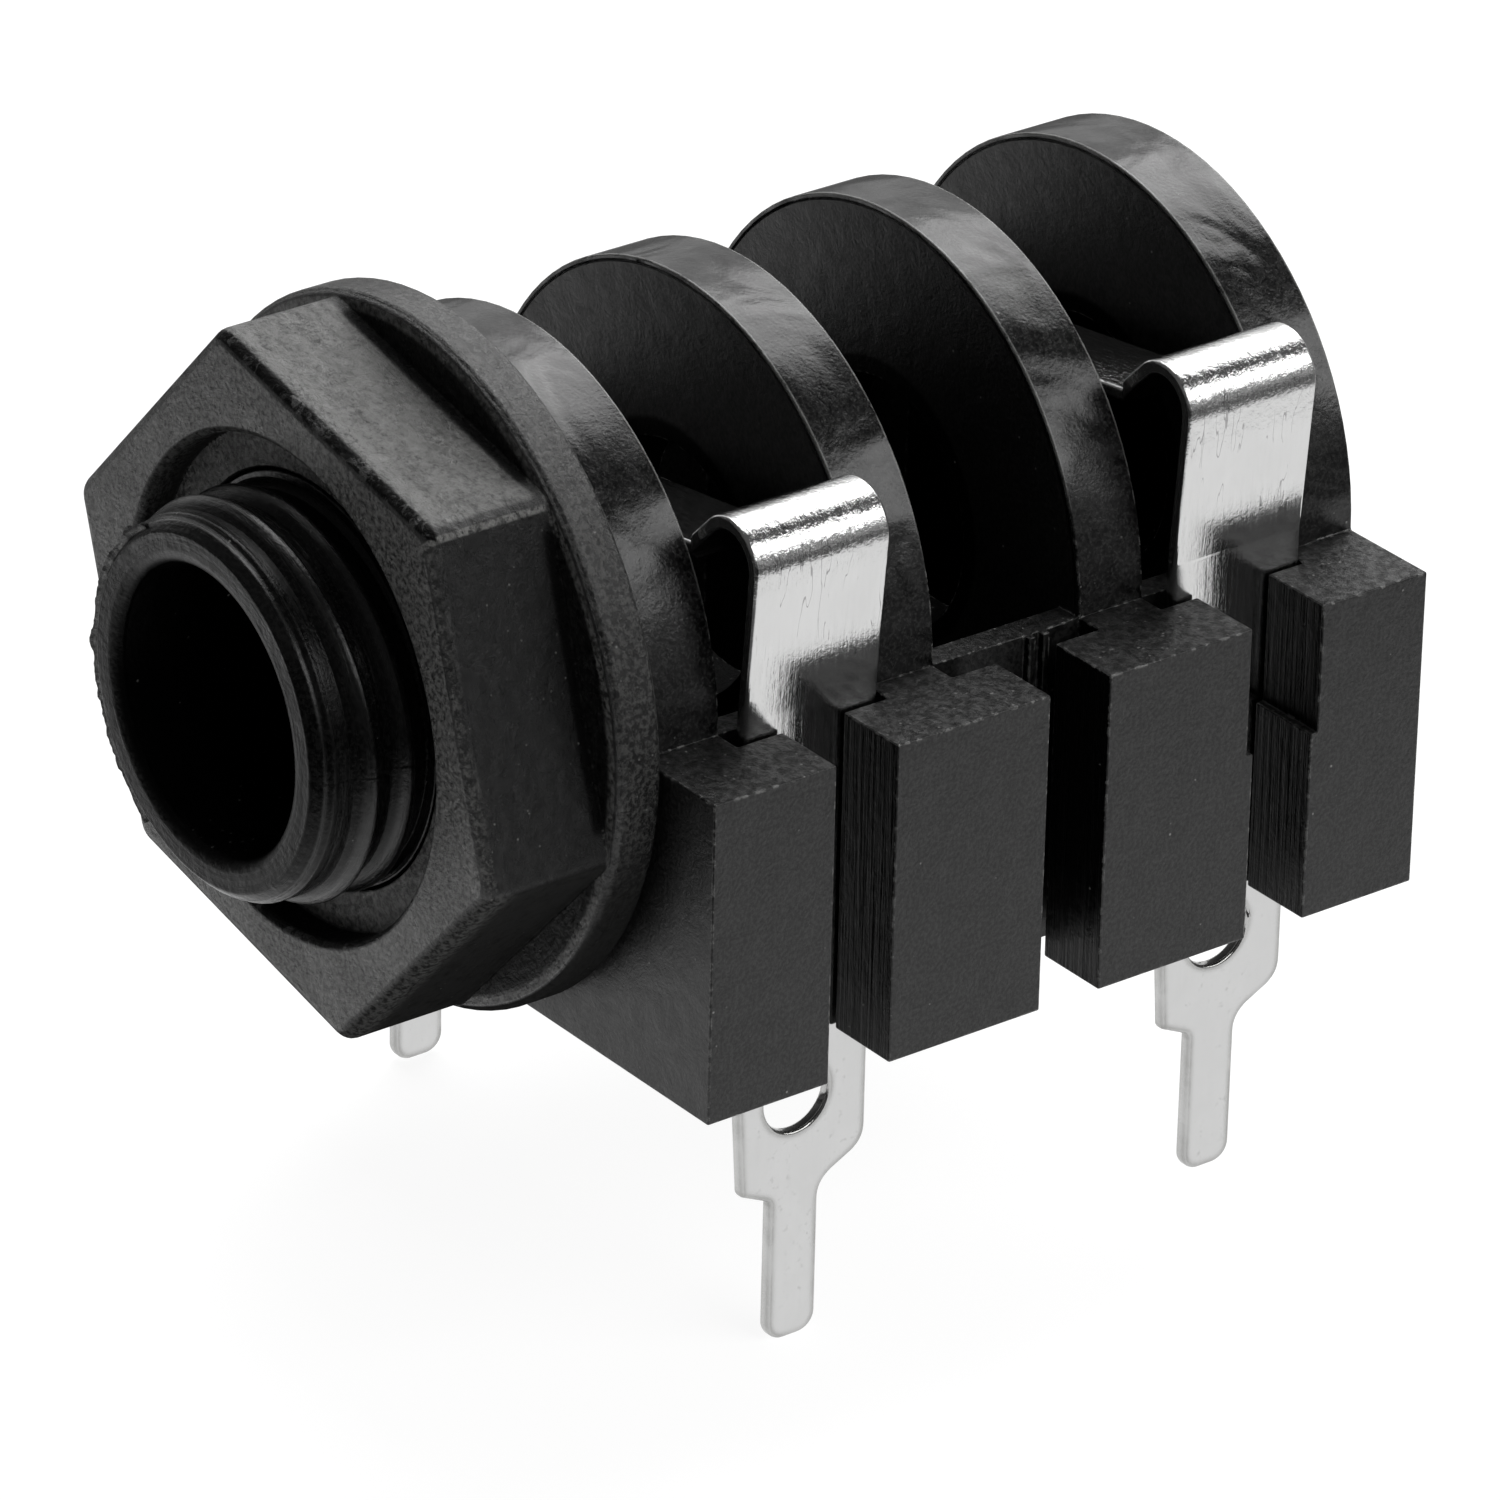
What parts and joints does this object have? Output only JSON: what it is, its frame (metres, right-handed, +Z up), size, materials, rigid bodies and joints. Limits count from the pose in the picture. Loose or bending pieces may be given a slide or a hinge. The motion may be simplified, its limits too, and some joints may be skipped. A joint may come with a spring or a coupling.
{
  "type": "audio jack socket",
  "caption": "Black plastic phone plug socket for a circuit board, with a threaded nose, a flanged hex nut, open chambers between round walls and folded spring contacts.",
  "frame": {"origin": "on the axis of the plug hole, in the plane of the front wall's front face, where a panel would lie", "axes": "-Y along the plug hole and out of the nose, +Z up away from the circuit board, +X towards the spring contacts' top bends"},
  "size_m": [0.0212, 0.0286, 0.0255],
  "materials": {
    "black_plastic": "moulded, satin",
    "nut_plastic": "moulded, satin",
    "contact_metal": "bright plated spring strip"
  },
  "bodies": {
    "socket": {"housing": "black_plastic", "sleeve_spring": "contact_metal", "sleeve_break_contact": "contact_metal", "tip_spring": "contact_metal", "tip_break_contact": "contact_metal"},
    "nut": {"hex_nut": "nut_plastic"}
  },
  "joints": [
    {"name": "nut_turn", "type": "hinge", "parent": "socket", "child": "nut", "pos_m": [0, -0.0025, 0], "axis": [0, -1, 0], "continuous": true}
  ]
}
